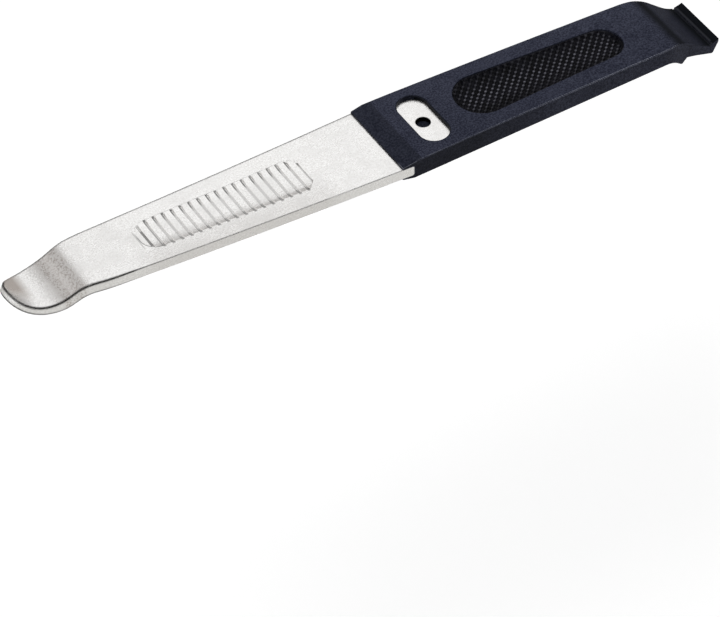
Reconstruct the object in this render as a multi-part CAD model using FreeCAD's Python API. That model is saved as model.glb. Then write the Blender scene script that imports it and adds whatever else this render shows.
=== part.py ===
import FreeCAD, Part
import math
import os

# Workshop tyre lever: a flat steel bar with an upswept spoon at one end, and a
# nylon handle moulded over its other end, with a hook of its own beyond a neck.
# Millimetres. +X runs from the spoon to the hook, +Y to the side and +Z up.
#
# The pieces are drawn about the handle's front edge: X = 0 there, and Z = 0 on
# the steel's upper face. Last of all they move to the part's own origin, which
# is the middle of the lever's length and width at the height of its lowest point.

V = FreeCAD.Vector

# ---- steel bar, side view: its upper face from the handle to the tip ----
steel_thickness = 3.0
bow_length = 80.1             # faintly hollow stretch up to the spoon's crest
bow_rise = 1.28
crest_radius = 11.6
ramp_angle = 23.0             # steepest fall into the spoon, in degrees
ramp_length = 1.75
heel_radius = 14.0
toe_radius = 9.5
toe_angle = 52.0              # climb of the face at the tip, in degrees
trough_thickness = 2.35       # steel at the spoon's lowest point
toe_thickness = 1.85

# ---- steel bar, plan view ----
bar_half_width = 11.93        # at the end of the lap
neck_inset = 3.0              # each side is this much narrower at the end of its straight taper
flare_length = 8.1            # end of the straight taper to the spoon's crest
crest_inset = 3.58
spoon_inset = 4.43
spoon_round_length = 12.9     # length of the half ellipse at the tip
toe_lean = 25.0               # its edge leans out below by this much at the tip, in degrees
steel_chamfer = 0.16          # its edges, all round
lap_end_radius = 0.6          # rounding over the square end of the full width

# ---- thumb ribs, pressed into the bar's upper face ----
rib_gap_count = 19
rib_pitch = 2.406
rib_field_start = 18.9        # handle front to the ribbed field
rib_field_length = 46.1
rib_field_handle_half_width = 5.9
rib_field_spoon_half_width = 4.85
rib_field_corner_radius = 4.0
rib_first_gap = 0.85          # field's end near the handle to the middle of the first gap
rib_depth = 0.55              # bar's face to the floor between two ribs
rib_draft = 0.45              # how far the field's edge slopes in over the depth
rib_run_out = 1.1             # and how far it does so at the end near the handle
rib_gap = 0.25                # width of the floor between two ribs
rib_flank = 0.45              # how far each side of a gap slopes out on its way up
rib_dish = 0.4                # crowns dip this far below the bar's face, in their middle
rib_dish_run = 3.2            # length of the rise from there to each end of a crown
rib_end_dish = 0.12           # the plain end of the field, towards the spoon, dips only this far
rib_drop = 0.02               # dip at the two ends of a crown
rib_root = 0.12               # how far those ends reach into the bar

# ---- tang: the narrower end of the bar, inside the handle ----
lap_length = 3.2              # bar at full width that the handle only laps
tang_side_wall = 2.2          # nylon beside the tang
tang_end_cover = 4.6          # handle's neck to the tang's end
tang_shoulder_radius = 0.8
tang_end_radius = 5.0
anchor_hole_radius = 1.9
anchor_hole_x = 13.0

# ---- nylon handle, side view ----
top_skin = 1.23               # nylon above the steel behind the front ramp
bottom_skin = 1.05
front_step = 0.45             # height of the handle's square front edge
lower_front_step = 0.2
front_ramp = 4.2              # handle front to the end of its sloping front
crown_climb = 0.55            # slope of the upper face behind the ramp, in degrees
crown_radius = 2840.0
handle_length = 78.6          # handle front to the neck
neck_radius = 9.7
neck_angle = 37.0             # steepest fall of the neck, in degrees
neck_run = 4.4
valley_radius = 12.0
valley_angle = 16.0           # slope left where the valley meets the hook
hook_run = 2.35               # valley to the hook's edge, along X
hook_rise = 0.85
hook_face = 0.9               # upright part of the hook's end
hook_undercut = 1.65          # how far the end leans in below that
hook_drop = 3.0
heel_setback = 2.35           # underside starts to fall this far before the neck
heel_bend_radius = 7.0
heel_bend_angle = 40.0
fulcrum_run = 2.1             # straight end of that fall, to the fulcrum's tip
fulcrum_rise = 1.28           # hollow behind the fulcrum
fulcrum_length = 1.86
fulcrum_radius = 0.5
hook_foot_radius = 0.5
bead_radius = 0.4             # bead across the foot of the hook
bead_setback = 1.95           # hook's edge to the bead
bead_inset = 0.5              # hook's narrower end to the bead's two ends
groove_radius = 0.35          # groove beside it, towards the neck

# ---- nylon handle, plan view ----
neck_start_half_width = 10.2
shoulder_setback = 2.8        # handle's sides turn in this far before the neck
shoulder_run = 8.2            # from there to the narrow of the neck
narrow_half_width = 8.85
hook_half_width = 7.9
edge_chamfer = 0.2            # along the upper and lower rims

# ---- window that bares the steel round the anchor hole ----
window_radius = 3.9
window_straight = 9.5         # between the centres of its round ends
window_chamfer = 0.12
post_recess = 1.3             # anchor post below the steel's upper face

# ---- soft grip pads, one in each face of the handle ----
pad_start = 22.5              # handle front to the pad
pad_setback = 8.8             # pad's other end to the neck
pad_front_radius = 7.1
pad_rear_radius = 5.45
pad_thickness = 0.45          # along the pad's middle
pad_rim = 1.0                 # thickness of its rim
dish_radius = 40.0            # hollow across the pad's outer face

# ---- how far cutting shapes reach, and how near counts as the same place ----
overrun = 1.0
reach_z = 10.0                # a height and a depth beyond every piece
touch = 0.05

# ---- lengths that follow from the ones above ----
taper_length = bow_length - flare_length
neck_half_width = bar_half_width - neck_inset
crest_half_width = bar_half_width - crest_inset
spoon_half_width = bar_half_width - spoon_inset
tang_length = handle_length - tang_end_cover
shoulder_x = handle_length - shoulder_setback
pad_length = handle_length - pad_setback - pad_start


def side_line(x):
    """Half width of the handle at x, behind the lapped end of the bar."""
    slope = (neck_start_half_width - bar_half_width) / (handle_length - lap_length)
    return bar_half_width + slope * (x - lap_length)


def line(a, b):
    return Part.LineSegment(a, b).toShape()


def arc(a, b, c):
    return Part.Arc(a, b, c).toShape()


def spline(points, start_tangent, end_tangent):
    curve = Part.BSplineCurve()
    curve.interpolate(Points=points, InitialTangent=start_tangent, FinalTangent=end_tangent)
    return curve.toShape()


def heading(climb, forward):
    """Direction of a side view path that climbs so many degrees."""
    return V(forward * math.cos(math.radians(climb)), 0, math.sin(math.radians(climb)))


def square_up(climb, forward):
    """Upward direction square to such a path."""
    return V(-forward * math.sin(math.radians(climb)), 0, math.cos(math.radians(climb)))


def trace(point, climb, forward, steps):
    """A side view path of tangent bends and straight runs, forward along +X or -X.

    A step (radius, turn) changes the climb by turn degrees round that radius. A step
    (length, None) runs straight. Returns the edges, and the point and climb at each joint.
    """
    edges = []
    joints = [(point, climb)]
    for size, turn in steps:
        if turn is None:
            after = point + heading(climb, forward) * size
            edges.append(line(point, after))
        else:
            radius = math.copysign(size, turn)
            centre = point + square_up(climb, forward) * radius
            middle = centre - square_up(climb + turn / 2, forward) * radius
            after = centre - square_up(climb + turn, forward) * radius
            edges.append(arc(point, middle, after))
            climb += turn
        point = after
        joints.append((point, climb))
    return edges, joints


def under(joint, forward, depth):
    """The point so far beneath a joint, square to the path."""
    point, climb = joint
    return point - square_up(climb, forward) * depth


def side_solid(edges, half_width):
    """A side view outline made solid across the lever."""
    face = Part.Face(Part.Wire(Part.__sortEdges__(edges)))
    face.translate(V(0, -half_width, 0))
    return face.extrude(V(0, 2 * half_width, 0))


def plan_solid(edges, low, high):
    """A plan view outline made solid from low to high."""
    face = Part.Face(Part.Wire(Part.__sortEdges__(edges)))
    face.translate(V(0, 0, low))
    return face.extrude(V(0, 0, high - low))


def both_sides(edges):
    """The edges of one side of the lever, and their mirror images."""
    return edges + [edge.mirror(V(0, 0, 0), V(0, 1, 0)) for edge in edges]


def rounded(before, corner, after, radius):
    """The arc that rounds a corner between two straight edges, and where it starts and ends."""
    a = (before - corner).normalize()
    b = (after - corner).normalize()
    half = a.getAngle(b) / 2
    reach = radius / math.tan(half)
    centre = corner + (a + b).normalize() * (radius / math.sin(half))
    middle = centre - (a + b).normalize() * radius
    start = corner + a * reach
    end = corner + b * reach
    return start, arc(start, middle, end), end


def slot_outline(start, end, start_radius, end_radius):
    """Plan outline of a slot from start to end along X, with two round ends."""
    a = start + start_radius
    b = end - end_radius
    lean = math.asin((start_radius - end_radius) / (b - a))
    side_a = V(a + start_radius * math.sin(lean), start_radius * math.cos(lean), 0)
    side_b = V(b + end_radius * math.sin(lean), end_radius * math.cos(lean), 0)
    far_a = V(side_a.x, -side_a.y, 0)
    far_b = V(side_b.x, -side_b.y, 0)
    return [
        line(side_a, side_b),
        arc(side_b, V(end, 0, 0), far_b),
        line(far_b, far_a),
        arc(far_a, V(start, 0, 0), side_a),
    ]


def upright_edges(shape, x, reach_y):
    """The shape's edges that stand upright at x, within reach_y of the middle."""
    found = []
    for edge in shape.Edges:
        box = edge.BoundBox
        upright = box.ZLength > touch and max(box.XLength, box.YLength) < touch
        if upright and abs(box.Center.x - x) < touch and abs(box.Center.y) < reach_y:
            found.append(edge)
    return found


def end_edges(shape, x):
    """The edges that run across the lever at x."""
    found = []
    for edge in shape.Edges:
        box = edge.BoundBox
        if max(box.XLength, box.ZLength) < touch and abs(box.Center.x - x) < touch:
            found.append(edge)
    return found


def rim_edges(shape, start, end):
    """The edges from start to end that run along the lever, on rims above and below."""
    found = []
    for edge in shape.Edges:
        box = edge.BoundBox
        if box.XLength > touch and box.XMin > start - touch and box.XMax < end + touch:
            found.append(edge)
    return found


# ---- the steel bar's upper face ----
bow_radius = bow_length ** 2 / (2 * bow_rise)
bow_angle = math.degrees(math.asin(bow_length / bow_radius))
face_steps = [
    (bow_radius, bow_angle),
    (crest_radius, -bow_angle - ramp_angle),
    (ramp_length, None),
    (heel_radius, ramp_angle),
    (toe_radius, toe_angle),
]
face_edges, face_joints = trace(V(0, 0, 0), 0, -1, face_steps)
tip_x = face_joints[-1][0].x
tip_z = face_joints[-1][0].z


def bar_blank():
    """Side view of the bar: even steel to the ramp, thinner through the spoon."""
    start, crest, ramp, heel, trough, toe = face_joints
    run_out = heading(toe[1], -1) * overrun
    back = V(tang_length + overrun, 0, 0)
    drop = V(0, 0, -steel_thickness)
    under_steps = [
        (bow_radius + steel_thickness, bow_angle),
        (crest_radius - steel_thickness, -bow_angle - ramp_angle),
        (ramp_length, None),
    ]
    under_edges = trace(drop, 0, -1, under_steps)[0]
    spoon_points = [
        under(heel, -1, steel_thickness),
        under(trough, -1, trough_thickness),
        under(toe, -1, toe_thickness),
    ]
    edges = [line(back, V(0, 0, 0))] + face_edges
    edges.append(line(toe[0], toe[0] + run_out))
    edges.append(line(toe[0] + run_out, spoon_points[-1] + run_out))
    edges.append(line(spoon_points[-1] + run_out, spoon_points[-1]))
    edges.append(spline(spoon_points, heading(heel[1], -1), heading(toe[1], -1)))
    edges += under_edges
    edges.append(line(drop, back + drop))
    edges.append(line(back + drop, back))
    return side_solid(edges, bar_half_width + overrun)


def bar_plan(z):
    """Plan view of the bar at a height: spoon, taper and lapped end."""
    lap = V(lap_length, bar_half_width, z)
    neck = V(-taper_length, neck_half_width, z)
    crest = V(-bow_length, crest_half_width, z)
    tip = V(tip_x + (z - tip_z) * math.tan(math.radians(toe_lean)), 0, z)
    centre = V(tip_x + spoon_round_length, 0, z)
    shoulder = V(centre.x, spoon_half_width, z)
    quarter = math.pi / 2
    side = [
        spline([shoulder, crest, neck], V(1, 0, 0), lap - neck),
        line(neck, lap),
    ]
    ends = [
        Part.Arc(Part.Ellipse(tip, shoulder, centre), -quarter, quarter).toShape(),
        line(lap, V(lap.x, -lap.y, z)),
    ]
    return Part.Wire(Part.__sortEdges__(both_sides(side) + ends))


def tang_plan():
    """Plan view of the tang, rooted a little inside the full width."""
    root = V(lap_length - overrun, side_line(lap_length) - tang_side_wall, 0)
    end = V(tang_length, side_line(tang_length) - tang_side_wall, 0)
    ends = [line(root, V(root.x, -root.y, 0)), line(end, V(end.x, -end.y, 0))]
    return both_sides([line(root, end)]) + ends


def on_bow(x):
    """The bar's upper face at x, within the bow, and its climb there."""
    climb = math.degrees(math.asin(-x / bow_radius))
    return V(x, 0, bow_radius * (1 - math.cos(math.radians(climb)))), climb


def rib(start, end, dish):
    """The thumb rib between two gaps, rooted in the bar below and at both of its ends."""
    top = on_bow((start + end) / 2)
    forward = heading(top[1], -1)
    half_length = (start - end - rib_gap) / 2
    root = under(top, -1, rib_depth + overrun)
    foot = under(top, -1, rib_depth)
    levels = [(root, half_length), (foot, half_length), (top[0], half_length - rib_flank)]
    corners = [point + forward * reach for point, reach in levels]
    corners += [point - forward * reach for point, reach in reversed(levels)]
    edges = [line(a, b) for a, b in zip(corners, corners[1:] + corners[:1])]
    share = (-top[0].x - rib_field_start) / rib_field_length
    narrowing = rib_field_handle_half_width - rib_field_spoon_half_width
    half_width = rib_field_handle_half_width - share * narrowing + rib_root
    rise = dish - rib_drop
    radius = (rib_dish_run ** 2 + rise ** 2) / (2 * rise)
    half_angle = math.asin(rib_dish_run / radius) / 2
    flat_half_width = half_width - rib_dish_run
    back = forward * -(half_length + overrun)
    points = [
        (half_width, rib_drop),
        (flat_half_width + radius * math.sin(half_angle), dish - radius * (1 - math.cos(half_angle))),
        (flat_half_width, dish),
        (0, dish),
        (0, rib_depth + overrun),
        (half_width, rib_depth + overrun),
    ]
    a, b, c, d, e, f = [under(top, -1, depth) + V(0, y, 0) + back for y, depth in points]
    crown = both_sides([arc(a, b, c), line(c, d), line(e, f), line(f, a)])
    dished = Part.Face(Part.Wire(Part.__sortEdges__(crown))).extrude(back * -2)
    return side_solid(edges, half_width + overrun).common(dished)


def rib_field_outline(spread):
    """Plan outline of the ribbed field, where its sides have sloped in by spread."""
    handle_x = -rib_field_start - spread * rib_run_out / rib_draft
    spoon_x = -rib_field_start - rib_field_length + spread
    wide = V(handle_x, rib_field_handle_half_width - spread, 0)
    narrow = V(spoon_x, rib_field_spoon_half_width - spread, 0)
    radius = rib_field_corner_radius - spread
    a, wide_corner, b = rounded(V(handle_x, 0, 0), wide, narrow, radius)
    c, narrow_corner, d = rounded(wide, narrow, V(spoon_x, 0, 0), radius)
    ends = [line(V(handle_x, 0, 0), a), line(d, V(spoon_x, 0, 0))]
    return both_sides(ends + [wide_corner, line(b, c), narrow_corner])


def rib_field():
    """The recess pressed for the thumb ribs, with drafted sides."""
    end = rib_field_start + rib_field_length
    corner, climb = on_bow(-rib_field_start)
    wires = []
    for depth in (-2 * rib_depth, rib_depth):
        outline = rib_field_outline(depth * rib_draft / rib_depth)
        wires.append(Part.Wire(Part.__sortEdges__(outline)))
        wires[-1].translate(V(0, 0, -depth))
    tray = Part.makeLoft(wires, True, True)
    tray.rotate(V(corner.x, 0, 0), V(0, 1, 0), (climb + on_bow(-end)[1]) / 2)
    tray.translate(V(0, 0, corner.z))
    return tray


def ribs():
    """Every thumb rib, and the plain end of their field towards the spoon."""
    end = rib_field_start + rib_field_length
    gaps = [-rib_field_start - rib_first_gap - k * rib_pitch for k in range(rib_gap_count)]
    return [rib(a, b, rib_dish) for a, b in zip(gaps, gaps[1:])] + [rib(gaps[-1], -end - overrun, rib_end_dish)]


def make_bar():
    outline = Part.makeLoft([bar_plan(-reach_z), bar_plan(reach_z)], True, True)
    exposed = bar_blank().common(outline)
    exposed = exposed.makeFillet(lap_end_radius, end_edges(exposed, lap_length))
    corners = upright_edges(exposed, lap_length, bar_half_width + overrun)
    exposed = exposed.makeChamfer(steel_chamfer, rim_edges(exposed, tip_x - reach_z, lap_length) + corners)
    tang = plan_solid(tang_plan(), -steel_thickness, 0)
    tang = tang.makeFillet(tang_end_radius, upright_edges(tang, tang_length, bar_half_width))
    bar = exposed.fuse(tang)
    shoulders = upright_edges(bar, lap_length, bar_half_width - tang_side_wall / 2)
    bar = bar.makeFillet(tang_shoulder_radius, shoulders)
    hole = Part.makeCylinder(anchor_hole_radius, 2 * reach_z, V(anchor_hole_x, 0, -reach_z))
    return bar.cut([rib_field(), hole]).fuse(ribs())


def handle_side():
    """Side view of the handle with a square front: crown, neck, hook and fulcrum.

    Returns the outline, the hook's edge and the hollow between fulcrum and hook.
    """
    crown_turn = -math.degrees(handle_length / crown_radius)
    top = [
        (crown_radius, crown_turn),
        (neck_radius, -neck_angle - crown_climb - crown_turn),
        (neck_run, None),
        (valley_radius, neck_angle - valley_angle),
    ]
    top_edges, top_joints = trace(V(0, 0, top_skin), crown_climb, 1, top)
    valley = top_joints[-1][0]
    hook_edge = valley + V(hook_run, 0, hook_rise)
    face_foot = hook_edge - V(0, 0, hook_face)
    hook_foot = face_foot - V(hook_undercut, 0, hook_drop)
    base = V(0, 0, -steel_thickness - bottom_skin)
    heel = base + V(handle_length - heel_setback, 0, 0)
    heel_steps = [(heel_bend_radius, -heel_bend_angle)]
    heel_edges, heel_joints = trace(heel, 0, 1, heel_steps)
    bend_end, climb = heel_joints[-1]
    fulcrum = bend_end + heading(climb, 1) * fulcrum_run
    hollow = fulcrum + V(fulcrum_length, 0, fulcrum_rise)
    tip_start, tip_arc, tip_end = rounded(bend_end, fulcrum, hollow, fulcrum_radius)
    foot_start, foot_arc, foot_end = rounded(hollow, hook_foot, face_foot, hook_foot_radius)
    edges = top_edges + heel_edges + [
        line(valley, hook_edge),
        line(hook_edge, face_foot),
        line(face_foot, foot_end),
        foot_arc,
        line(foot_start, hollow),
        line(hollow, tip_end),
        tip_arc,
        line(tip_start, bend_end),
        line(heel, base),
        line(base, V(0, 0, top_skin)),
    ]
    return edges, hook_edge, hollow


def handle_plan(end_x):
    """Plan view of the handle, from its front edge to the hook's edge."""
    bar_slope = (bar_half_width - neck_half_width) / (taper_length + lap_length)
    front = V(0, bar_half_width - bar_slope * lap_length, 0)
    lap = V(lap_length, bar_half_width, 0)
    shoulder = V(shoulder_x, side_line(shoulder_x), 0)
    narrow = V(shoulder_x + shoulder_run, narrow_half_width, 0)
    end = V(end_x, hook_half_width, 0)
    side = [
        line(front, lap),
        line(lap, shoulder),
        spline([shoulder, narrow, end], shoulder - lap, end - narrow),
    ]
    ends = [
        line(front, V(0, -front.y, 0)),
        line(end, V(end_x, -end.y, 0)),
    ]
    return both_sides(side) + ends


def front_wedges():
    """The wedges cut off the handle's front, above and below."""
    wedges = []
    upper_end = top_skin + front_ramp * math.tan(math.radians(crown_climb))
    for step, end in ((front_step, upper_end), (lower_front_step, bottom_skin)):
        head = V(front_ramp, 0, end)
        foot = V(-overrun, 0, step - (end - step) * overrun / front_ramp)
        lid = V(0, 0, reach_z)
        corners = [foot, head, head + lid, foot + lid]
        edges = [line(a, b) for a, b in zip(corners, corners[1:] + corners[:1])]
        wedges.append(side_solid(edges, bar_half_width + overrun))
    wedges[1] = wedges[1].mirror(V(0, 0, -steel_thickness / 2), V(0, 0, 1))
    return wedges


def across(x, z, radius, reach_y):
    """A round bar across the lever."""
    return Part.makeCylinder(radius, 2 * reach_y, V(x, -reach_y, z), V(0, 1, 0))


def pad_outline():
    """Plan view of a grip pad, and of its seat in the handle."""
    return slot_outline(pad_start, pad_start + pad_length, pad_front_radius, pad_rear_radius)


def window():
    """The opening in the handle's upper face, with its long axis across the lever."""
    reach = window_straight / 2 + window_radius
    prism = plan_solid(slot_outline(-reach, reach, window_radius, window_radius), 0, 2 * top_skin + overrun)
    prism.rotate(V(0, 0, 0), V(0, 0, 1), 90)
    prism.translate(V(anchor_hole_x, 0, 0))
    return prism


def window_rim(shape):
    """The edges round the window's mouth."""
    start = anchor_hole_x - window_radius
    end = anchor_hole_x + window_radius
    return [edge for edge in rim_edges(shape, start, end) if edge.BoundBox.ZMin > top_skin - touch]


def make_handle(bar):
    side_edges, hook_edge, hollow = handle_side()
    plan = plan_solid(handle_plan(hook_edge.x), -reach_z, reach_z)
    blank = side_solid(side_edges, bar_half_width + overrun).common(plan)
    blank = blank.makeChamfer(edge_chamfer, rim_edges(blank, 0, hollow.x))
    seats = [plan_solid(pad_outline(), 0, reach_z), plan_solid(pad_outline(), -reach_z, -steel_thickness)]
    over_post = Part.makeCylinder(anchor_hole_radius, reach_z, V(anchor_hole_x, 0, -post_recess))
    slope = hook_rise / hook_run
    bead_x = hook_edge.x - bead_setback
    bead_z = hook_edge.z - bead_setback * slope
    bead = across(bead_x, bead_z, bead_radius, hook_half_width - bead_inset)
    groove_step = bead_radius + groove_radius / 2
    groove = across(bead_x - groove_step, bead_z - groove_step * slope, groove_radius, bar_half_width)
    handle = blank.cut(front_wedges() + seats + [bar, window(), over_post, groove]).fuse(bead)
    return handle.makeChamfer(window_chamfer, window_rim(handle))


def make_pad():
    """The upper grip pad, hollowed across its outer face."""
    pad = plan_solid(pad_outline(), 0, pad_rim)
    dish = Part.makeCylinder(dish_radius, pad_length + 2 * overrun,
                             V(pad_start - overrun, 0, pad_thickness + dish_radius), V(1, 0, 0))
    return pad.cut(dish)


steel_bar = make_bar()
handle = make_handle(steel_bar)
upper_pad = make_pad()
lower_pad = upper_pad.mirror(V(0, 0, -steel_thickness / 2), V(0, 0, 1))
pieces = {
    "steel_bar": steel_bar,
    "handle": handle,
    "upper_grip_pad": upper_pad,
    "lower_grip_pad": lower_pad,
}

os.makedirs("parts", exist_ok=True)
whole = Part.makeCompound(list(pieces.values())).optimalBoundingBox()
to_origin = V(-whole.Center.x, 0, -whole.ZMin)
for name, piece in pieces.items():
    piece.translate(to_origin)
    piece.exportStep("parts/" + name + ".step")
    print(name, len(piece.Faces), "faces,", round(piece.Volume), "mm3")
print("length", round(whole.XLength, 2), "width", round(whole.YLength, 2), "height", round(whole.ZLength, 2))
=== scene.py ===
import math
import bmesh
import bpy
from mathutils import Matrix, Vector


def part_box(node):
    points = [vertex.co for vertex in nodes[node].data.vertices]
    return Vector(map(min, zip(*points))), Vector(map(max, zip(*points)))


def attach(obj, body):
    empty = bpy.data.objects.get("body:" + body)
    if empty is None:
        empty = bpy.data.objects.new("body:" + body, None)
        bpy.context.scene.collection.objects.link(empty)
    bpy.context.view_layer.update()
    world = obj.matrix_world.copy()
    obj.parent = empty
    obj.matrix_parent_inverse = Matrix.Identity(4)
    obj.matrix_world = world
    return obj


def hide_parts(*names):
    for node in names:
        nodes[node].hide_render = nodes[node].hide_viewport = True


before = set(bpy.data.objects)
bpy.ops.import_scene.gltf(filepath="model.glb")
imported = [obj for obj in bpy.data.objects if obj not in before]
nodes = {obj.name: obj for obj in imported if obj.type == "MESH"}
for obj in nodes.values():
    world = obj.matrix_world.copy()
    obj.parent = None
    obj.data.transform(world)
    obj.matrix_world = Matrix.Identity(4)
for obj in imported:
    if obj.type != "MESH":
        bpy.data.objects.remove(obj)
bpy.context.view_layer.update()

padLow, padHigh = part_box("upper_grip_pad")
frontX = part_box("handle")[0].x  # the handle's front edge, where the lever is measured from
steelTop = padLow.z             # the pad lies on the steel's upper face
barMiddle = (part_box("lower_grip_pad")[1].z + padLow.z) / 2  # half way through the steel

camera = {
    "fromFront": (-0.37472, -0.59852, 0.64628),  # metres from the middle of the handle's front edge
    "looking": (0.37289, 0.60312, -0.70512),
    "lens": 201.52,
    "sensor": 36,
    "clipEnd": 20,
}


def makeCamera():
    data = bpy.data.cameras.new("leverCamera")
    data.lens = camera["lens"]
    data.sensor_width = camera["sensor"]
    data.clip_end = camera["clipEnd"]
    cam = bpy.data.objects.new("leverCamera", data)
    cam.location = Vector((frontX, 0, steelTop)) + Vector(camera["fromFront"])
    cam.rotation_euler = Vector(camera["looking"]).to_track_quat("-Z", "Y").to_euler()
    bpy.context.scene.collection.objects.link(cam)
    bpy.context.scene.camera = cam


makeCamera()
print("camera placed")


def newMaterial(name):
    mat = bpy.data.materials.new(name)
    mat.use_nodes = True
    tree = mat.node_tree
    tree.nodes.clear()
    out = tree.nodes.new("ShaderNodeOutputMaterial")
    shader = tree.nodes.new("ShaderNodeBsdfPrincipled")
    tree.links.new(shader.outputs["BSDF"], out.inputs["Surface"])
    return mat, tree, shader


def addNode(tree, kind, **settings):
    node = tree.nodes.new(kind)
    for key, value in settings.items():
        setattr(node, key, value)
    return node


def feed(tree, value, socket):
    # a socket is linked, a number or a colour is set
    if isinstance(value, bpy.types.NodeSocket):
        tree.links.new(value, socket)
    else:
        socket.default_value = value


def noise(tree, point, size, detail, rough=0.5):
    node = addNode(tree, "ShaderNodeTexNoise")
    node.inputs["Scale"].default_value = 1 / size  # size is the grain in metres
    node.inputs["Detail"].default_value = detail
    node.inputs["Roughness"].default_value = rough
    tree.links.new(point, node.inputs["Vector"])
    return node.outputs["Fac"]


def ramp(tree, value, low, high, atLow, atHigh):
    # it stays level outside low and high
    node = addNode(tree, "ShaderNodeMapRange")
    for name, number in (("From Min", low), ("From Max", high), ("To Min", atLow), ("To Max", atHigh)):
        node.inputs[name].default_value = number
    tree.links.new(value, node.inputs["Value"])
    return node.outputs["Result"]


def mathNode(tree, operation, *values):
    node = addNode(tree, "ShaderNodeMath", operation=operation)
    for value, socket in zip(values, node.inputs):
        feed(tree, value, socket)
    return node.outputs[0]


def product(tree, *shares):
    total = shares[0]
    for share in shares[1:]:
        total = mathNode(tree, "MULTIPLY", total, share)
    return total


def highest(tree, *shares):
    total = shares[0]
    for share in shares[1:]:
        total = mathNode(tree, "MAXIMUM", total, share)
    return total


def plus(tree, first, second):
    return mathNode(tree, "ADD", first, second)


def minus(tree, first, second):
    return mathNode(tree, "SUBTRACT", first, second)


def absolute(tree, value):
    return mathNode(tree, "ABSOLUTE", value)


def opposite(tree, share):
    return minus(tree, 1.0, share)


def between(tree, value, low, high, soft):
    # 1 from low to high, fading out over soft
    rising = ramp(tree, value, low - soft, low, 0, 1)
    return product(tree, rising, ramp(tree, value, high, high + soft, 1, 0))


def blend(tree, share, below, above):
    # from below to the value above, which is a number, a direction or a colour
    size = 1 if isinstance(above, (int, float)) else len(above)
    kind, first, result = {1: ("FLOAT", 2, 0), 3: ("VECTOR", 4, 1), 4: ("RGBA", 6, 2)}[size]
    node = addNode(tree, "ShaderNodeMix", data_type=kind)
    tree.links.new(share, node.inputs[0])
    feed(tree, below, node.inputs[first])
    feed(tree, above, node.inputs[first + 1])
    return node.outputs[result]


def splitAxes(tree, vector):
    node = addNode(tree, "ShaderNodeSeparateXYZ")
    tree.links.new(vector, node.inputs[0])
    return node.outputs[0], node.outputs[1], node.outputs[2]


def objectPoint(tree):
    # a point of the piece, and its three axes
    point = addNode(tree, "ShaderNodeTexCoord").outputs["Object"]
    return point, *splitAxes(tree, point)


def nearEdge(tree, rounded, low, high):
    # where a rounded normal leaves the flat one
    facing = addNode(tree, "ShaderNodeVectorMath", operation="DOT_PRODUCT")
    tree.links.new(rounded, facing.inputs[0])
    tree.links.new(addNode(tree, "ShaderNodeNewGeometry").outputs["True Normal"], facing.inputs[1])
    return ramp(tree, facing.outputs["Value"], high, low, 0, 1)


def softEdge(tree, radius):
    node = addNode(tree, "ShaderNodeBevel", samples=6)
    feed(tree, radius, node.inputs["Radius"])
    return node.outputs["Normal"]


def bump(tree, height, distance, strength, before=None):
    node = addNode(tree, "ShaderNodeBump")
    node.inputs["Strength"].default_value = strength
    node.inputs["Distance"].default_value = distance
    tree.links.new(height, node.inputs["Height"])
    if before is not None:
        tree.links.new(before, node.inputs["Normal"])
    return node.outputs["Normal"]


# places along the lever are from the handle's front, negative towards the spoon, and y < 0 is near
# ramps are from, to, value there, value there; bands are from, to, fade; noises are size, detail, roughness
windowLength = (0.0055, 0.0195, 0.0003)

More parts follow.
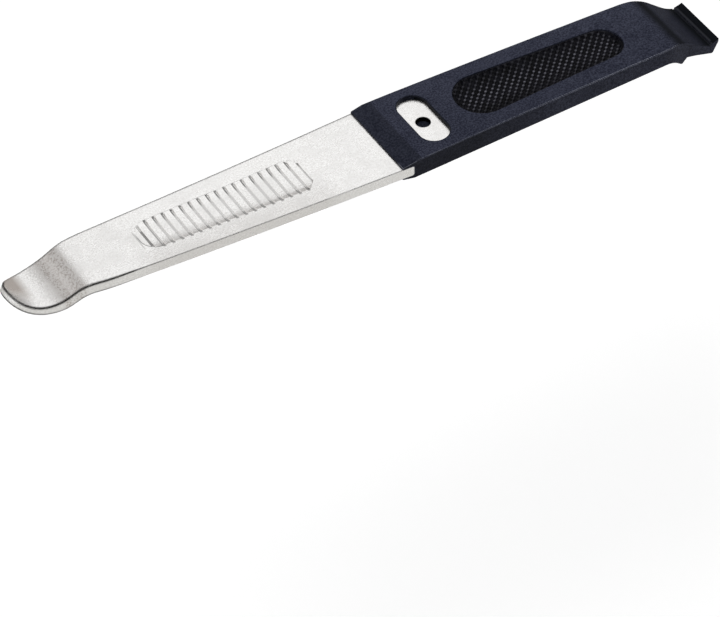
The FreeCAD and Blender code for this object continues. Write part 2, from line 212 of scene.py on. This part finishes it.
steelFinish = {
    "light": (0.97, 0.965, 0.955, 1),
    "dark": (0.83, 0.82, 0.805, 1),
    # painted shade: stands in for the dark of the rib gaps, the rim and the hole's wall
    "paintedShade": (0.01, 0.009, 0.0085, 1),
    # a warm darker tone: specks on the ramp, and painted shade on the near strip and the toe's far corner
    "warmTone": (0.45, 0.41, 0.38, 1),
    "grain": (0.00042, 3, 0.65),
    "grainTone": (0.36, 0.64, 0, 1),
    "grainBump": (0.00006, 0.8),              # height, strength
    "cloud": (0.005, 3),
    "roughness": (0.35, 0.65, 0.22, 0.32),
    "bow": (0.0801, 0.00128),                 # length and rise of the upper face, up to the spoon
    "nearSide": (0.003, 0.006, 1, 0),
    "rimBend": (0.987, 0.995),                # how far the normals part at a dark rim
    "rimShares": (0.95, 0.35),                # at the far side, at the near side
    "beside": (-0.064, -0.020, 0.006),        # the stretch beside the ribs
    "strip": (-0.0045, -0.0085, 0, 0.16),     # painted shade there, stronger towards the near edge
    "drawn": 0.045,                           # slope of the face towards the ribs there
    "drawnFrom": 0.0045,
    "spoon": {
        "edge": (-0.078, -0.068, 0.0009, 0.00022),   # rounding, down to the taper's
        "farEdge": (0.005, 0.007, 0, 0.0009),
        "bent": (-0.0880, -0.0834, 0.0012),   # warm darker specks over the ramp, most at its bends
        "bends": ((-0.0850, -0.0834, 0.0010), (-0.0880, -0.0872, 0.0008)),
        "bentShares": (0.75, 1.15),           # between the bends, at the bends
        "specks": (0.45, 0.60, 0, 0.72),
        "rim": (-0.0655, -0.0715, 0, 1),
        "rimBend": (0.9925, 0.9975),
        "toe": (-0.0930, -0.0955, 0, 1),
        "toeSide": (-0.0045, 0.0010, 0, 1),
        "toeTop": (0.6, 0.75, 0, 1),
        "toeNormal": (0.2, 0, 0.98),
        "toeRim": 0.7,                        # share of the rim's painted shade that the far corner lacks
    },
    "window": {                               # heights are over the steel's face
        "side": (0.0080, 0.0090, 1, 0),
        "hole": (-0.00012, -0.00004, 1, 0),
        "plate": (-0.00012, -0.00006, 0, 1),
        "plateNormal": (-0.14, -0.17, 0.975),
    },
    "ribs": {
        "start": -0.0189,
        "length": 0.0461,
        "halfWidth": (0.0059, 0.00485),       # near the handle, near the spoon
        "past": (0.0002, 0.0005, 0.0003),     # the finish reaches past both ends, and fades
        "aside": (-0.0009, -0.0006, 0, 1),
        "edge": 0.00005,
        "farSide": (0.0005, 0.0003, 0, 1),    # distance in from the far edge
        "farHalf": (0, 0.001, 0, 1),
        "spoonEnd": (0.0010, 0.0006, 0, 1),   # distance in from the end towards the spoon
        "runOut": (-0.01985, -0.01965, 0, 1),
        "cornerFrom": 0.0035,
        "corner": (-0.001, 0.001, 0.9, 1.3),
    },
    "gaps": {
        "first": -0.01975,
        "pitch": 0.002406,
        "depth": (0.00003, 0.00016, 0, 1),    # under the bar's upper face
        "foot": (-0.15, -0.06, 0.08),         # pitches from the middle of a gap
        "gap": (-0.17, 0.05, 0.08),
        "share": 0.26,                        # all over a gap
        "far": (0.0020, 0.0038, 0.22, 0.85),
        "farIn": (0, 0.0006, 0.5, 1),         # distances in from the field's long edges
        "near": (-0.0026, -0.0042, 0, 0.62),
        "nearIn": (0.0026, 0.0012, 0, 1),
        "nearRim": (-0.0006, -0.0002, 0, 1),
        "second": (-0.0596, -0.0600, 0, 0.55),
        "last": (-0.0622, -0.0626, 0, 1),
        "lastFoot": 0.1,                      # of the others' share
        "lastMiddle": (-0.0032, 0.0020, 0.0008),
        "lastShare": 0.65,
    },
    "endLine": {                              # round the field's near corner
        "radius": 0.0040,
        "middle": -0.00085,
        "half": 0.0001,
        "soft": 0.00012,
        "side": (0.0022, 0, 0, 0.6),
        "fade": (0.0052, 0.0040, 0, 1),       # distance in from the end towards the spoon
    },
}


def faceDepth(tree, along, height):
    # depth below the bar's upper face, which rises to the spoon as a shallow bow
    length, rise = steelFinish["bow"]
    bow = product(tree, product(tree, along, along), rise / length ** 2)
    return minus(tree, plus(tree, bow, steelTop), height)


def ribShade(tree, along, y, inside, below):
    # painted shade in the gaps, along the foot of each rib and at their two ends
    gaps = steelFinish["gaps"]
    turns = mathNode(tree, "DIVIDE", minus(tree, along, gaps["first"]), gaps["pitch"])
    across = minus(tree, turns, mathNode(tree, "ROUND", turns))
    foot = between(tree, across, *gaps["foot"])
    gap = between(tree, across, *gaps["gap"])
    last = ramp(tree, along, *gaps["last"])
    notLast = opposite(tree, last)
    second = product(tree, ramp(tree, along, *gaps["second"]), notLast)
    far = product(tree, ramp(tree, y, *gaps["far"]), ramp(tree, inside, *gaps["farIn"]))
    far = product(tree, highest(tree, far, second), ramp(tree, last, 0, 1, 1, gaps["lastFoot"]))
    near = product(tree, ramp(tree, y, *gaps["near"]), ramp(tree, inside, *gaps["nearIn"]),
                   ramp(tree, inside, *gaps["nearRim"]), notLast)
    lastMiddle = product(tree, last, between(tree, y, *gaps["lastMiddle"]), gaps["lastShare"])
    shade = highest(tree, product(tree, foot, far), product(tree, gap, gaps["share"]))
    return gap, highest(tree, product(tree, below, shade), product(tree, gap, near),
                        product(tree, gap, lastMiddle))


def fieldEnd(tree, fromEnd, y):
    # a faint line of painted shade where the field ends towards the spoon, with its near corner
    line = steelFinish["endLine"]
    radius, half = line["radius"], line["half"]
    fromStraight = highest(tree, minus(tree, radius, fromEnd), 0)
    fromMiddle = highest(tree, minus(tree, line["middle"], y), 0)
    squares = plus(tree, product(tree, fromStraight, fromStraight), product(tree, fromMiddle, fromMiddle))
    onArc = between(tree, mathNode(tree, "SQRT", squares), radius - half, radius + half, line["soft"])
    return product(tree, onArc, ramp(tree, y, *line["side"]), ramp(tree, fromEnd, *line["fade"]))


def satinSteel():
    mat, tree, shader = newMaterial("satinSteel")
    spoon, ribs, window = steelFinish["spoon"], steelFinish["ribs"], steelFinish["window"]
    shadeColour, warmTone = steelFinish["paintedShade"], steelFinish["warmTone"]
    point, x, y, z = objectPoint(tree)
    along = minus(tree, x, frontX)
    overPlate = minus(tree, z, steelTop)
    side = absolute(tree, y)
    start = ribs["start"]
    end = start - ribs["length"]
    fromEnd = minus(tree, along, end)
    halfWidth = ramp(tree, along, start, end, *ribs["halfWidth"])
    inside = minus(tree, halfWidth, side)       # distance in from the field's long edges
    pastEnd, pastStart, fade = ribs["past"]
    inField = product(tree, between(tree, along, end - pastEnd, start + pastStart, fade),
                      ramp(tree, inside, *ribs["aside"]))
    beside = between(tree, along, *steelFinish["beside"])
    grain = noise(tree, point, *steelFinish["grain"])
    cloud = noise(tree, point, *steelFinish["cloud"])
    tone = ramp(tree, grain, *steelFinish["grainTone"])
    base = blend(tree, tone, steelFinish["dark"], steelFinish["light"])

    # warm darker specks over the ramp, most at its bends, and painted shade on a strip between the ribs and
    # the near edge
    bends = highest(tree, *(between(tree, along, *bend) for bend in spoon["bends"]))
    bent = product(tree, between(tree, along, *spoon["bent"]),
                   ramp(tree, bends, 0, 1, *spoon["bentShares"]))
    base = blend(tree, product(tree, bent, ramp(tree, grain, *spoon["specks"])), base, warmTone)
    base = blend(tree, product(tree, beside, ramp(tree, y, *steelFinish["strip"])), base, warmTone)

    # painted shade in the rib gaps and at their ends
    below = ramp(tree, faceDepth(tree, along, z), *steelFinish["gaps"]["depth"])
    gap, paintedShade = ribShade(tree, along, y, inside, below)
    # the field runs out without an edge towards the handle, round its corners there
    corner = highest(tree, minus(tree, side, ribs["cornerFrom"]), 0)
    corner = product(tree, corner, ramp(tree, y, *ribs["corner"]))
    runOut = product(tree, ramp(tree, plus(tree, along, corner), *ribs["runOut"]), inField)
    base = blend(tree, product(tree, paintedShade, inField, opposite(tree, runOut)), base, shadeColour)
    base = blend(tree, fieldEnd(tree, fromEnd, y), base, shadeColour)

    # edges are rounded more round the spoon, and hardly on the ribs
    radius = highest(tree, ramp(tree, along, *spoon["edge"]), ramp(tree, y, *spoon["farEdge"]))
    edge = softEdge(tree, blend(tree, inField, radius, ribs["edge"]))
    # painted shade along the rounded rim, most of all round the spoon, but not at the toe's far corner
    nearSide = ramp(tree, y, *steelFinish["nearSide"])
    spoonRim = product(tree, ramp(tree, along, *spoon["rim"]), nearSide)
    rim = highest(tree, nearEdge(tree, edge, *steelFinish["rimBend"]),
                  product(tree, nearEdge(tree, edge, *spoon["rimBend"]), spoonRim))
    farToe = product(tree, ramp(tree, along, *spoon["toe"]), ramp(tree, y, *spoon["toeSide"]))
    toeTop = product(tree, farToe, ramp(tree, splitAxes(tree, edge)[2], *spoon["toeTop"]))
    # painted shade on the top of the toe's far corner
    base = blend(tree, toeTop, base, warmTone)
    farCorner = product(tree, farToe, opposite(tree, nearSide), spoon["toeRim"])
    rimLevel = product(tree, highest(tree, spoonRim, ramp(tree, nearSide, 0, 1, *steelFinish["rimShares"])),
                       opposite(tree, farCorner))
    base = blend(tree, product(tree, rim, rimLevel, opposite(tree, inField)), base, shadeColour)
    # painted shade on the wall of the hole in the window as well
    inWindow = product(tree, between(tree, along, *windowLength), ramp(tree, side, *window["side"]))
    hole = product(tree, inWindow, ramp(tree, overPlate, *window["hole"]))
    tree.links.new(blend(tree, hole, base, shadeColour), shader.inputs["Base Color"])
    tree.links.new(ramp(tree, cloud, *steelFinish["roughness"]), shader.inputs["Roughness"])

    # the field has no edge along its far side either, between the gaps, nor at its end
    farSide = product(tree, ramp(tree, inside, *ribs["farSide"]), ramp(tree, y, *ribs["farHalf"]), inField,
                      opposite(tree, gap))
    spoonEnd = product(tree, ramp(tree, fromEnd, *ribs["spoonEnd"]), inField)
    level = blend(tree, highest(tree, runOut, farSide, spoonEnd), edge, (0, 0, 1))
    # the toe's far corner curls up less than the rest
    level = blend(tree, toeTop, level, spoon["toeNormal"])
    # in the window the plate is dished a little away from the walls
    onPlate = product(tree, inWindow, ramp(tree, overPlate, *window["plate"]))
    level = blend(tree, onPlate, level, window["plateNormal"])
    # the press drew the face down a little on both sides of the ribs
    fall = product(tree, beside, highest(tree, side, steelFinish["drawnFrom"]))
    drawn = bump(tree, fall, steelFinish["drawn"], 1, level)
    tree.links.new(bump(tree, grain, *steelFinish["grainBump"], drawn), shader.inputs["Normal"])
    shader.inputs["Metallic"].default_value = 1
    return mat


nylonFinish = {
    "light": (0.056, 0.061, 0.091, 1),
    "dark": (0.011, 0.013, 0.026, 1),
    # painted shade
    "nylonShade": (0.002, 0.003, 0.005, 1),
    # painted highlight for the near top edge and the hook's crease
    "paintedHighlight": (0.56, 0.58, 0.68, 1),
    "grain": (0.00045, 4, 0.7),
    "grainTone": (0.42, 0.58, -0.05, 0.75),
    "grainBump": (0.00008, 0.8),
    "cloud": (0.004, 3),
    "cloudTone": (0.35, 0.65, 0, 0.2),
    "sideTone": (-0.012, 0.012, -0.06, 0.12),
    "roughness": (0.3, 0.7, 0.36, 0.5),
    "specular": 0.05,
    "edge": 0.0003,
    "upright": (0.25, 0.5, 1, 0),             # of a normal's height
    "nearFront": (0.022, 0.042, 0.6, 0.15),
    "onRamp": (0.0050, 0.0055, 0.45, 0),
    "window": {
        "side": (0.0078, 0.0081, 1, 0),
        "top": (0.0009, 0.0010, 1, 0),        # height over the steel's face
        "upright": (0.7, 0.9, 1, 0.6),
        "lipLength": (0.0045, 0.0205, 0.0005),
        "lipSide": (0.0085, 0.0090, 1, 0),
        "lipBend": (0.975, 0.998),
    },
    "neck": {
        "start": 0.0800,                      # the rest is measured from here
        "lead": (0, 0.003, 0, 0.4),
        "slope": (0.0012, 0.0020, 0.0022),
        "slopeShare": 0.9,
        "hollow": (0.0060, 0.0105, 0, 1),
        # painted highlight along the hook's crease
        "crease": (0.0117, 0.0120, 0.0003),
        "creaseShare": 0.045,
        "highlightEnd": (0, 0.002, 1, 0),
    },
    # painted highlight along the near top edge, flecked
    "edgeHighlight": {
        "bend": (0.88, 0.975),
        "length": (0.020, 0.060, 0.45, 1),
        "side": (-0.009, -0.010, 0, 1),
        "spots": (0.0008, 3),
        "spotTone": (0.35, 0.6, 0.5, 1),
    },
}


def blackNylon():
    mat, tree, shader = newMaterial("blackNylon")
    window, neck, edgeHighlight = nylonFinish["window"], nylonFinish["neck"], nylonFinish["edgeHighlight"]
    point, x, y, z = objectPoint(tree)
    along = minus(tree, x, frontX)
    fromNeck = minus(tree, along, neck["start"])
    side = absolute(tree, y)
    grain = noise(tree, point, *nylonFinish["grain"])
    cloud = noise(tree, point, *nylonFinish["cloud"])
    mottle = plus(tree, ramp(tree, grain, *nylonFinish["grainTone"]),
                  ramp(tree, cloud, *nylonFinish["cloudTone"]))
    # darker towards the near side, lighter towards the far side
    mottle = plus(tree, mottle, ramp(tree, y, *nylonFinish["sideTone"]))
    base = blend(tree, mottle, nylonFinish["dark"], nylonFinish["light"])
    edge = softEdge(tree, nylonFinish["edge"])
    up = splitAxes(tree, edge)[2]
    upright = ramp(tree, up, *nylonFinish["upright"])
    lying = opposite(tree, upright)

    # painted shade makes these blackest: the window's walls and lip, the neck and the hook, upright faces
    # near the front and the front ramp
    walls = product(tree, between(tree, along, *windowLength), ramp(tree, side, *window["side"]),
                    ramp(tree, minus(tree, z, steelTop), *window["top"]),
                    ramp(tree, up, *window["upright"]))
    lip = product(tree, nearEdge(tree, edge, *window["lipBend"]),
                  between(tree, along, *window["lipLength"]), ramp(tree, side, *window["lipSide"]))
    slope = product(tree, between(tree, fromNeck, *neck["slope"]), neck["slopeShare"])
    onNeck = product(tree, highest(tree, slope, ramp(tree, fromNeck, *neck["hollow"]),
                                   ramp(tree, fromNeck, *neck["lead"])), lying)
    nearFront = product(tree, ramp(tree, along, *nylonFinish["nearFront"]), upright)
    onRamp = product(tree, ramp(tree, along, *nylonFinish["onRamp"]), lying)
    nylonShade = highest(tree, walls, lip, onNeck, nearFront, onRamp)
    base = blend(tree, nylonShade, base, nylonFinish["nylonShade"])
    # a painted highlight along the near top edge, most near the neck, and a painted highlight along the
    # hook's crease
    spots = noise(tree, point, *edgeHighlight["spots"])
    highlightEdge = product(tree, nearEdge(tree, edge, *edgeHighlight["bend"]), ramp(tree, along, *edgeHighlight["length"]),
                     ramp(tree, fromNeck, *neck["highlightEnd"]), ramp(tree, spots, *edgeHighlight["spotTone"]),
                     ramp(tree, y, *edgeHighlight["side"]))
    crease = product(tree, between(tree, fromNeck, *neck["crease"]), lying, neck["creaseShare"])
    base = blend(tree, highest(tree, highlightEdge, crease), base, nylonFinish["paintedHighlight"])
    tree.links.new(base, shader.inputs["Base Color"])
    tree.links.new(ramp(tree, grain, *nylonFinish["roughness"]), shader.inputs["Roughness"])
    tree.links.new(bump(tree, grain, *nylonFinish["grainBump"], edge), shader.inputs["Normal"])
    shader.inputs["Specular IOR Level"].default_value = nylonFinish["specular"]
    return mat


gripPad = {
    "pitch": 0.0014,       # of the knurl, across each of its two sets of rows
    "crown": 0.22,         # flat top, as a share of the pitch
    "valley": 0.06,        # flat bottom
    "depth": 0.00040,
    "middle": 0.00045,     # rubber under the crowns, along the pad's middle
    "dishRadius": 0.040,
    "rim": 0.00015,        # plain band all round
    "fade": 0.0002,        # over which the diamonds rise beside it
    "rimHeight": 0.0010,
    "rearRadius": 0.00545,
    "endSteps": 24,
    "skirt": 0.002,        # the knurled block reaches down so far before it is cut to the outline
    "light": (0.005, 0.005, 0.008, 1),
    "dark": (0.001, 0.001, 0.002, 1),
    # painted highlight colour on the crowns
    "litTips": (0.16, 0.16, 0.19, 1),
    "grain": (0.00025, 3, 0.6),
    "grainBump": (0.00001, 0.5),
    "cloud": (0.003, 3),
    "cloudTone": (0.35, 0.65, 0, 1),
    "roughness": (0.3, 0.7, 0.25, 0.4),
    "specular": 0.06,
    "tipHeight": (-0.00014, -0.00001, 0, 1),   # over the crowns
    "glintEnds": (0.0035, 0.0025),              # how far in the painted highlight starts, and its fade
    "glint": (0.0025, 3),
    "glintTone": (0.3, 0.6, 0.5, 1),
    "glintSide": (0.0010, 0.0055, 1, 0.12),
    # painted highlight along the crests
    "crest": (0.03, 0.10, 0.26, 0),
    "crestSide": (0.003, 0.006, 1, 0.3),
}
rowSpacing = math.sqrt(2) * gripPad["pitch"]   # from one diamond to the next along the pad

# the pad's outline is a slot with two different round ends
frontRadius = padHigh.y
rearRadius = gripPad["rearRadius"]
frontMiddle = padLow.x + frontRadius
rearMiddle = padHigh.x - rearRadius
lean = math.asin((frontRadius - rearRadius) / (rearMiddle - frontMiddle))   # of its long sides


def blackRubber():
    mat, tree, shader = newMaterial("blackRubber")
    point, x, y, z = objectPoint(tree)
    side = absolute(tree, y)
    grain = noise(tree, point, *gripPad["grain"])
    cloud = noise(tree, point, *gripPad["cloud"])
    base = blend(tree, ramp(tree, cloud, *gripPad["cloudTone"]), gripPad["dark"], gripPad["light"])
    # painted highlight on the crowns' tips, fainter towards the rim
    height = absolute(tree, minus(tree, z, barMiddle))
    dish = product(tree, y, y, 0.5 / gripPad["dishRadius"])
    crown = padLow.z - barMiddle + gripPad["middle"]
    litTips = ramp(tree, minus(tree, minus(tree, height, dish), crown), *gripPad["tipHeight"])
    setIn, fade = gripPad["glintEnds"]
    ends = between(tree, x, padLow.x + setIn, padHigh.x - setIn, fade)
    spots = noise(tree, point, *gripPad["glint"])
    glint = product(tree, litTips, ends, ramp(tree, side, *gripPad["glintSide"]),
                   ramp(tree, spots, *gripPad["glintTone"]))
    # and a painted highlight along the crest of every row that runs forwards to the far side
    rows = mathNode(tree, "DIVIDE", minus(tree, minus(tree, x, padLow.x), y), rowSpacing)
    off = absolute(tree, minus(tree, rows, mathNode(tree, "ROUND", rows)))
    crest = product(tree, ramp(tree, off, *gripPad["crest"]), ramp(tree, side, *gripPad["crestSide"]), ends)
    base = blend(tree, highest(tree, glint, crest), base, gripPad["litTips"])
    tree.links.new(base, shader.inputs["Base Color"])
    tree.links.new(ramp(tree, grain, *gripPad["roughness"]), shader.inputs["Roughness"])
    tree.links.new(bump(tree, grain, *gripPad["grainBump"]), shader.inputs["Normal"])
    shader.inputs["Specular IOR Level"].default_value = gripPad["specular"]
    return mat


def insideSlot(x, y):
    # distance in from the pad's outline
    along = (x - frontMiddle) * math.cos(lean) - abs(y) * math.sin(lean)
    if along < 0:
        return frontRadius - math.hypot(x - frontMiddle, y)
    if along > (rearMiddle - frontMiddle) * math.cos(lean):
        return rearRadius - math.hypot(x - rearMiddle, y)
    return frontRadius - (abs(y) * math.cos(lean) + (x - frontMiddle) * math.sin(lean))


def diamond(t):
    # 1 on the crown and 0 in the valley, over one pitch
    away = 2 * abs(t - round(t))
    return min(max((1 - gripPad["valley"] - away) / (1 - gripPad["valley"] - gripPad["crown"]), 0), 1)


def padHeight(x, y):
    rise = min(diamond((x - padLow.x + y) / rowSpacing), diamond((x - padLow.x - y) / rowSpacing))
    fade = min(max((insideSlot(x, y) - gripPad["rim"]) / gripPad["fade"], 0), 1)
    dish = gripPad["dishRadius"] - math.sqrt(gripPad["dishRadius"] ** 2 - y * y)
    return gripPad["middle"] + dish - gripPad["depth"] * (1 - rise) * fade


def slotLoop(bm, z):
    # the pad's outline at a height
    steps = gripPad["endSteps"]
    quarter = math.pi / 2
    loop = []
    for centre, radius, start, stop in ((rearMiddle, rearRadius, -quarter + lean, quarter - lean),
                                        (frontMiddle, frontRadius, quarter - lean, 3 * quarter + lean)):
        for k in range(steps + 1):
            angle = start + (stop - start) * k / steps
            loop.append(bm.verts.new((centre + radius * math.cos(angle), radius * math.sin(angle), z)))
    return loop


def newObject(name, bm):
    mesh = bpy.data.meshes.new(name)
    bm.to_mesh(mesh)
    bm.free()
    made = bpy.data.objects.new(name, mesh)
    bpy.context.scene.collection.objects.link(made)
    return made


def knurledBlock(name):
    # larger than the pad all round, with its points where the diamonds' faces meet
    crown, valley = gripPad["crown"], gripPad["valley"]
    marks = sorted({0, crown / 2, (1 - valley) / 2, 0.5 + valley / 2, 1 - crown / 2})
    reach = padHigh.y + gripPad["pitch"]
    first = int(-reach / rowSpacing) - 2
    last = int((padHigh.x - padLow.x + reach) / rowSpacing) + 3
    lines = [k + m for k in range(first, last) for m in marks]
    bm = bmesh.new()
    points = {}

    def place(i, j):
        return padLow.x + (lines[i] + lines[j]) / 2 * rowSpacing, (lines[i] - lines[j]) / 2 * rowSpacing

    def at(i, j):
        if (i, j) not in points:
            x, y = place(i, j)
            points[i, j] = bm.verts.new((x, y, padLow.z + padHeight(x, y)))
        return points[i, j]

    for i in range(len(lines) - 1):
        for j in range(len(lines) - 1):
            x, y = place(i, j)
            if abs(y) < reach and padLow.x - rowSpacing < x < padHigh.x + rowSpacing:
                bm.faces.new([at(i, j), at(i, j + 1), at(i + 1, j + 1), at(i + 1, j)])
    bmesh.ops.recalc_face_normals(bm, faces=bm.faces[:])
    if bm.faces[0].normal.z < 0:
        bmesh.ops.reverse_faces(bm, faces=bm.faces[:])
    skirt = bmesh.ops.extrude_edge_only(bm, edges=[e for e in bm.edges if e.is_boundary])
    for v in skirt["geom"]:
        if isinstance(v, bmesh.types.BMVert):
            v.co.z = padLow.z - gripPad["skirt"]
    bmesh.ops.holes_fill(bm, edges=[e for e in bm.edges if e.is_boundary], sides=0)
    bmesh.ops.recalc_face_normals(bm, faces=bm.faces[:])
    return newObject(name, bm)


def padMould():
    # the room that the knurled block is cut to
    bm = bmesh.new()
    bottom = slotLoop(bm, padLow.z)
    top = slotLoop(bm, padLow.z + gripPad["rimHeight"])
    for k in range(len(bottom)):
        n = (k + 1) % len(bottom)
        bm.faces.new([bottom[k], bottom[n], top[n], top[k]])
    bm.faces.new(top)
    bm.faces.new(bottom[::-1])
    bmesh.ops.recalc_face_normals(bm, faces=bm.faces[:])
    return newObject("padMould", bm)


def knurledPad(name, node, flipped):
    pad = knurledBlock(name)
    mould = padMould()
    trim = pad.modifiers.new("outline", "BOOLEAN")
    trim.operation = "INTERSECT"
    trim.solver = "EXACT"
    trim.object = mould
    graph = bpy.context.evaluated_depsgraph_get()
    trimmed = bpy.data.meshes.new_from_object(pad.evaluated_get(graph))
    pad.modifiers.clear()
    pad.data = trimmed
    bpy.data.objects.remove(mould)
    if flipped:
        bm = bmesh.new()
        bm.from_mesh(trimmed)
        for v in bm.verts:
            v.co.z = 2 * barMiddle - v.co.z
        bmesh.ops.reverse_faces(bm, faces=bm.faces[:])
        bm.to_mesh(trimmed)
        bm.free()
    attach(pad, "root")
    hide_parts(node)
    return pad


for name, finish in (("steel_bar", satinSteel), ("handle", blackNylon)):
    nodes[name].data.materials.clear()
    nodes[name].data.materials.append(finish())
rubber = blackRubber()
for name, node, flipped in (("upperKnurledPad", "upper_grip_pad", False),
                            ("lowerKnurledPad", "lower_grip_pad", True)):
    pad = knurledPad(name, node, flipped)
    pad.data.materials.clear()
    pad.data.materials.append(rubber)
    print(name, len(pad.data.polygons), "faces")
print("materials assigned")

studio = {
    "floorDrop": 0.13,
    "floorSize": 12,
    "floorColour": (0.9, 0.9, 0.9, 1),
    "floorRoughness": 0.9,
    "floorLift": 0.4,                         # brings the floor to white for the backdrop's rays
    "ambient": 0.45,
    "keyFrom": (-0.25, 0.15, 1.0),
    "keyDistance": 1.0,
    "keySize": 0.7,
    "keyPower": 4.0,
    "cardRadius": 0.8,
    "cardSteps": (12, 8),
    "cardTint": (1, 0.97, 0.955, 1),
    "cards": {                                # angles in degrees, level against white
        "leftCard": ((-32, 0), (2, 48), 0.50),      # from upright towards +X, then towards +Y
        "farLeftCard": ((-85, -32), (2, 48), 0.85),
        "rightCard": ((60, 125), (0, 48), 0.27),
        "backCard": ((-85, 97), (50, 89), 0.45),
        "cameraCard": ((-85, 40), (-70, -26), 0.03),
    },
    "flags": {                                # sheets just above the floor: corners, then level
        "lowBack": ((-1.6, 0.05), (0.03, 1.6), 0.6),
        "lowRight": ((0.03, 0.05), (1.6, 1.6), 0.2),
        "lowFront": ((-0.6, -1.2), (0.5, -0.02), 0.69),
    },
    "flagRise": 0.005,
    "flagTint": (1, 0.99, 0.965, 1),
}


def finishCard(bm, name, level, tint):
    # only the reflections see a card
    card = newObject(name, bm)
    mat, tree, shader = newMaterial(name)
    shader.inputs["Base Color"].default_value = (0, 0, 0, 1)
    shader.inputs["Specular IOR Level"].default_value = 0
    shader.inputs["Emission Color"].default_value = tint
    shader.inputs["Emission Strength"].default_value = level
    card.data.materials.append(mat)
    card.visible_camera = False
    card.visible_diffuse = False
    card.visible_shadow = False


def makeCard(name, sweep, rise, level):
    bm = bmesh.new()
    across, upwards = studio["cardSteps"]
    rows = []
    for j in range(upwards + 1):
        e = math.radians(rise[0] + (rise[1] - rise[0]) * j / upwards)
        row = []
        for i in range(across + 1):
            a = math.radians(sweep[0] + (sweep[1] - sweep[0]) * i / across)
            way = Vector((math.sin(a) * math.cos(e), math.sin(e), math.cos(a) * math.cos(e)))
            row.append(bm.verts.new(way * studio["cardRadius"]))
        rows.append(row)
    for j in range(upwards):
        for i in range(across):
            bm.faces.new([rows[j][i], rows[j][i + 1], rows[j + 1][i + 1], rows[j + 1][i]])
    finishCard(bm, name, level, studio["cardTint"])


def makeFlag(name, low, high, level):
    bm = bmesh.new()
    z = studio["flagRise"] - studio["floorDrop"]
    corners = ((low[0], low[1]), (high[0], low[1]), (high[0], high[1]), (low[0], high[1]))
    bm.faces.new([bm.verts.new((x, y, z)) for x, y in corners])
    finishCard(bm, name, level, studio["flagTint"])


def backdropRays(tree):
    # camera, glossy and transmission rays see the white backdrop
    path = addNode(tree, "ShaderNodeLightPath")
    return highest(tree, *(path.outputs[f"Is {ray} Ray"] for ray in ("Camera", "Glossy", "Transmission")))


def makeFloor():
    bpy.ops.mesh.primitive_plane_add(size=studio["floorSize"], location=(0, 0, -studio["floorDrop"]))
    floor = bpy.context.object
    floor.name = "studioFloor"
    mat, tree, shader = newMaterial("studioWhite")
    shader.inputs["Base Color"].default_value = studio["floorColour"]
    shader.inputs["Roughness"].default_value = studio["floorRoughness"]
    shader.inputs["Specular IOR Level"].default_value = 0
    shader.inputs["Emission Color"].default_value = (1, 1, 1, 1)
    lift = product(tree, backdropRays(tree), studio["floorLift"])
    tree.links.new(lift, shader.inputs["Emission Strength"])
    floor.data.materials.append(mat)


def makeKeyLight():
    light = bpy.data.lights.new("keyLight", "AREA")
    light.shape = "SQUARE"
    light.size = studio["keySize"]
    light.energy = studio["keyPower"]
    lamp = bpy.data.objects.new("keyLight", light)
    towards = Vector(studio["keyFrom"]).normalized()
    lamp.location = towards * studio["keyDistance"]
    lamp.rotation_euler = towards.to_track_quat("Z", "Y").to_euler()
    bpy.context.scene.collection.objects.link(lamp)
    lamp.visible_glossy = False


def makeWorld():
    world = bpy.data.worlds.new("studio")
    world.use_nodes = True
    tree = world.node_tree
    tree.nodes.clear()
    out = addNode(tree, "ShaderNodeOutputWorld")
    background = addNode(tree, "ShaderNodeBackground")
    background.inputs["Color"].default_value = (1, 1, 1, 1)
    strength = ramp(tree, backdropRays(tree), 0, 1, studio["ambient"], 1)
    tree.links.new(strength, background.inputs["Strength"])
    tree.links.new(background.outputs[0], out.inputs[0])
    bpy.context.scene.world = world


makeFloor()
makeKeyLight()
for name, card in studio["cards"].items():
    makeCard(name, *card)
for name, flag in studio["flags"].items():
    makeFlag(name, *flag)
makeWorld()
bpy.context.scene.view_settings.view_transform = "Standard"
print("studio built")
